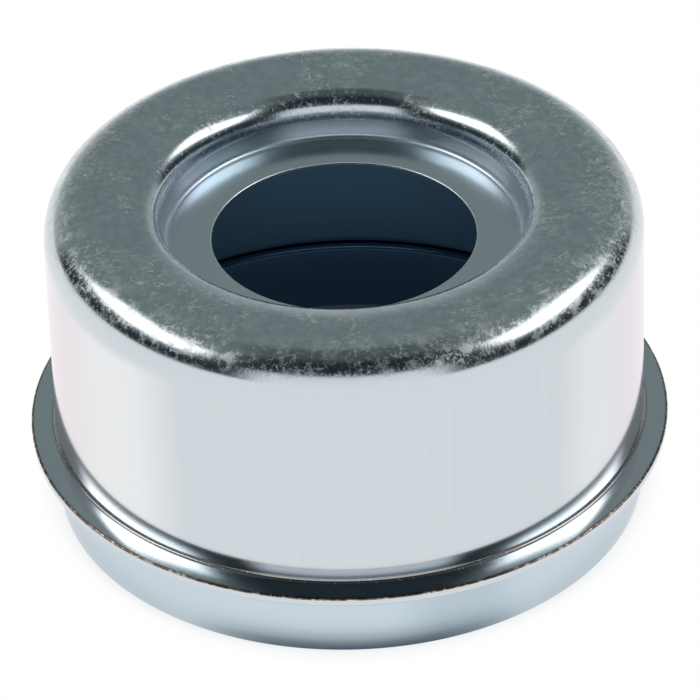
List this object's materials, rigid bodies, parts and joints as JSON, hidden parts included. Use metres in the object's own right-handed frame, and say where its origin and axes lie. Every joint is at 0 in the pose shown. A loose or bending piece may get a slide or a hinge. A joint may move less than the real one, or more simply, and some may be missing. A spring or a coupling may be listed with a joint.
{
  "type": "hub grease cap",
  "caption": "Drive-in hub grease cap in zinc-plated sheet steel: flat top with a sunk plug seat and hole, folded flange and a press-in skirt.",
  "frame": {"origin": "centre of the open rim, on the plane that the cap stands on", "axes": "+Z along the cap's axis, from the open rim towards the closed end with the plug hole; X and Y are any square pair, because the cap is round"},
  "size_m": [0.0542, 0.0542, 0.0286],
  "materials": {
    "zinc_plated_steel": "bright zinc plating over drawn sheet steel, smooth and slightly satin, with fine scuffs on the top"
  },
  "bodies": {
    "root": {"grease_cap": "zinc_plated_steel"}
  },
  "joints": []
}
